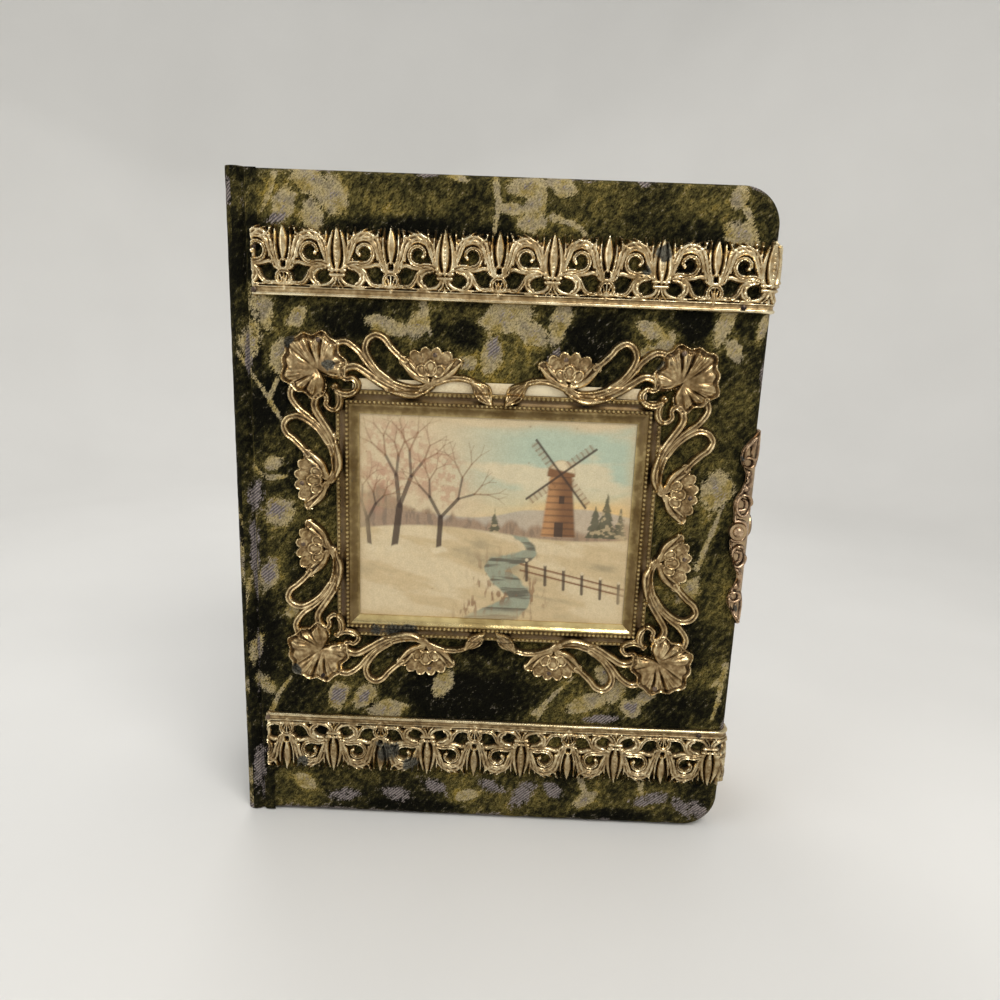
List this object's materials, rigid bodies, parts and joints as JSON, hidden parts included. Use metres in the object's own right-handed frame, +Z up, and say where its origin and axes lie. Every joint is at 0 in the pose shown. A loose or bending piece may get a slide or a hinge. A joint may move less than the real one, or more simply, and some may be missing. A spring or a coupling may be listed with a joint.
{
  "type": "photograph album",
  "caption": "Victorian photograph album with padded velvet covers, brass bands, framed picture, fore-edge clasp and thick window leaves that turn on a hinged spine.",
  "frame": {"origin": "middle of the album's footprint on the surface it stands on", "axes": "+Z up from tail to head, +X from the spine to the fore-edge, -Y towards the viewer of the front cover"},
  "size_m": [0.2166, 0.0714, 0.273],
  "materials": {
    "figured_velvet": "figured olive velvet, worn",
    "millboard": "plain",
    "wadding": "soft",
    "lining_paper": "satin",
    "linen": "woven",
    "leaf_card": "gilt edges",
    "mat_paper": "satin",
    "stamped_brass": "antique, worn bright on the relief",
    "frame_brass": "antique with a gilt fillet",
    "backing_card": "cream card",
    "picture_print": "varnished print",
    "button_brass": "polished by use",
    "clasp_brass": "dark antique",
    "steel_wire": "dull",
    "nail_iron": "blackened"
  },
  "bodies": {
    "spine": {"spine_board": "millboard", "spine_velvet": "figured_velvet", "spine_liner": "linen", "leaf_stubs": "linen"},
    "front_cover": {"front_board": "millboard", "front_padding": "wadding", "front_velvet": "figured_velvet", "front_lining": "lining_paper", "head_band": "stamped_brass", "tail_band": "stamped_brass", "picture_frame": "frame_brass", "picture_backing": "backing_card", "picture_card": "picture_print", "lily_head_left": "stamped_brass", "lily_head_right": "stamped_brass", "lily_tail_left": "stamped_brass", "lily_tail_right": "stamped_brass", "clasp_front_plate": "clasp_brass", "clasp_spring": "steel_wire", "band_nails": "nail_iron", "lily_nails": "nail_iron", "clasp_nails": "nail_iron"},
    "button": {"clasp_button": "button_brass"},
    "back_cover": {"back_board": "millboard", "back_padding": "wadding", "back_velvet": "figured_velvet", "back_lining": "lining_paper", "clasp_back_plate": "clasp_brass", "clasp_pin": "steel_wire", "clasp_back_nails": "nail_iron"},
    "hasp": {"clasp_hasp": "clasp_brass"},
    "leaf_01": {"leaf_01_core": "leaf_card", "leaf_01_mats": "mat_paper"},
    "leaf_02": {"leaf_02_core": "leaf_card", "leaf_02_mats": "mat_paper"},
    "leaf_03": {"leaf_03_core": "leaf_card", "leaf_03_mats": "mat_paper"},
    "leaf_04": {"leaf_04_core": "leaf_card", "leaf_04_mats": "mat_paper"},
    "leaf_05": {"leaf_05_core": "leaf_card", "leaf_05_mats": "mat_paper"},
    "leaf_06": {"leaf_06_core": "leaf_card", "leaf_06_mats": "mat_paper"},
    "leaf_07": {"leaf_07_core": "leaf_card", "leaf_07_mats": "mat_paper"},
    "leaf_08": {"leaf_08_core": "leaf_card", "leaf_08_mats": "mat_paper"},
    "leaf_09": {"leaf_09_core": "leaf_card", "leaf_09_mats": "mat_paper"},
    "leaf_10": {"leaf_10_core": "leaf_card", "leaf_10_mats": "mat_paper"},
    "leaf_11": {"leaf_11_core": "leaf_card", "leaf_11_mats": "mat_paper"},
    "leaf_12": {"leaf_12_core": "leaf_card", "leaf_12_mats": "mat_paper"}
  },
  "joints": [
    {"name": "front_cover_hinge", "type": "hinge", "parent": "spine", "child": "front_cover", "pos_m": [-0.1043, -0.02637, 0.1365], "axis": [0, 0, -1], "range_deg": [0, 180]},
    {"name": "back_cover_hinge", "type": "hinge", "parent": "spine", "child": "back_cover", "pos_m": [-0.1043, 0.03002, 0.1365], "axis": [0, 0, 1], "range_deg": [0, 180]},
    {"name": "clasp_hasp_hinge", "type": "hinge", "parent": "back_cover", "child": "hasp", "pos_m": [0.1067, 0.03002, 0.1395], "axis": [0, 0, 1], "range_deg": [0, 150]},
    {"name": "clasp_button_push", "type": "slide", "parent": "front_cover", "child": "button", "axis": [0, 1, 0], "range_m": [0, 0.0012], "stiffness_N_per_m": 300, "deforming": ["clasp_spring"]},
    {"name": "leaf_01_turn", "type": "hinge", "parent": "spine", "child": "leaf_01", "pos_m": [-0.0953, -0.02017, 0.1365], "axis": [0, 0, -1], "range_deg": [0, 85.01]},
    {"name": "leaf_02_turn", "type": "hinge", "parent": "spine", "child": "leaf_02", "pos_m": [-0.0953, -0.01617, 0.1365], "axis": [0, 0, -1], "range_deg": [0, 71.01]},
    {"name": "leaf_03_turn", "type": "hinge", "parent": "spine", "child": "leaf_03", "pos_m": [-0.0953, -0.01218, 0.1365], "axis": [0, 0, -1], "range_deg": [0, 57.01]},
    {"name": "leaf_04_turn", "type": "hinge", "parent": "spine", "child": "leaf_04", "pos_m": [-0.0953, -0.00817, 0.1365], "axis": [0, 0, -1], "range_deg": [0, 43.01]},
    {"name": "leaf_05_turn", "type": "hinge", "parent": "spine", "child": "leaf_05", "pos_m": [-0.0953, -0.00417, 0.1365], "axis": [0, 0, -1], "range_deg": [0, 29.01]},
    {"name": "leaf_06_turn", "type": "hinge", "parent": "spine", "child": "leaf_06", "pos_m": [-0.0953, -0.00017, 0.1365], "axis": [0, 0, -1], "range_deg": [0, 15.01]},
    {"name": "leaf_07_turn", "type": "hinge", "parent": "spine", "child": "leaf_07", "pos_m": [-0.0953, 0.00382, 0.1365], "axis": [0, 0, 1], "range_deg": [0, 15.01]},
    {"name": "leaf_08_turn", "type": "hinge", "parent": "spine", "child": "leaf_08", "pos_m": [-0.0953, 0.00783, 0.1365], "axis": [0, 0, 1], "range_deg": [0, 29.01]},
    {"name": "leaf_09_turn", "type": "hinge", "parent": "spine", "child": "leaf_09", "pos_m": [-0.0953, 0.01183, 0.1365], "axis": [0, 0, 1], "range_deg": [0, 43.01]},
    {"name": "leaf_10_turn", "type": "hinge", "parent": "spine", "child": "leaf_10", "pos_m": [-0.0953, 0.01582, 0.1365], "axis": [0, 0, 1], "range_deg": [0, 57.01]},
    {"name": "leaf_11_turn", "type": "hinge", "parent": "spine", "child": "leaf_11", "pos_m": [-0.0953, 0.01982, 0.1365], "axis": [0, 0, 1], "range_deg": [0, 71.01]},
    {"name": "leaf_12_turn", "type": "hinge", "parent": "spine", "child": "leaf_12", "pos_m": [-0.0953, 0.02382, 0.1365], "axis": [0, 0, 1], "range_deg": [0, 85.01]}
  ],
  "couplings": [
    {"joint": "leaf_01_turn", "follows": "front_cover_hinge", "ratio": 0.47222},
    {"joint": "leaf_02_turn", "follows": "front_cover_hinge", "ratio": 0.39444},
    {"joint": "leaf_03_turn", "follows": "front_cover_hinge", "ratio": 0.31667},
    {"joint": "leaf_04_turn", "follows": "front_cover_hinge", "ratio": 0.23889},
    {"joint": "leaf_05_turn", "follows": "front_cover_hinge", "ratio": 0.16111},
    {"joint": "leaf_06_turn", "follows": "front_cover_hinge", "ratio": 0.083333},
    {"joint": "leaf_07_turn", "follows": "back_cover_hinge", "ratio": 0.083333},
    {"joint": "leaf_08_turn", "follows": "back_cover_hinge", "ratio": 0.16111},
    {"joint": "leaf_09_turn", "follows": "back_cover_hinge", "ratio": 0.23889},
    {"joint": "leaf_10_turn", "follows": "back_cover_hinge", "ratio": 0.31667},
    {"joint": "leaf_11_turn", "follows": "back_cover_hinge", "ratio": 0.39444},
    {"joint": "leaf_12_turn", "follows": "back_cover_hinge", "ratio": 0.47222}
  ]
}
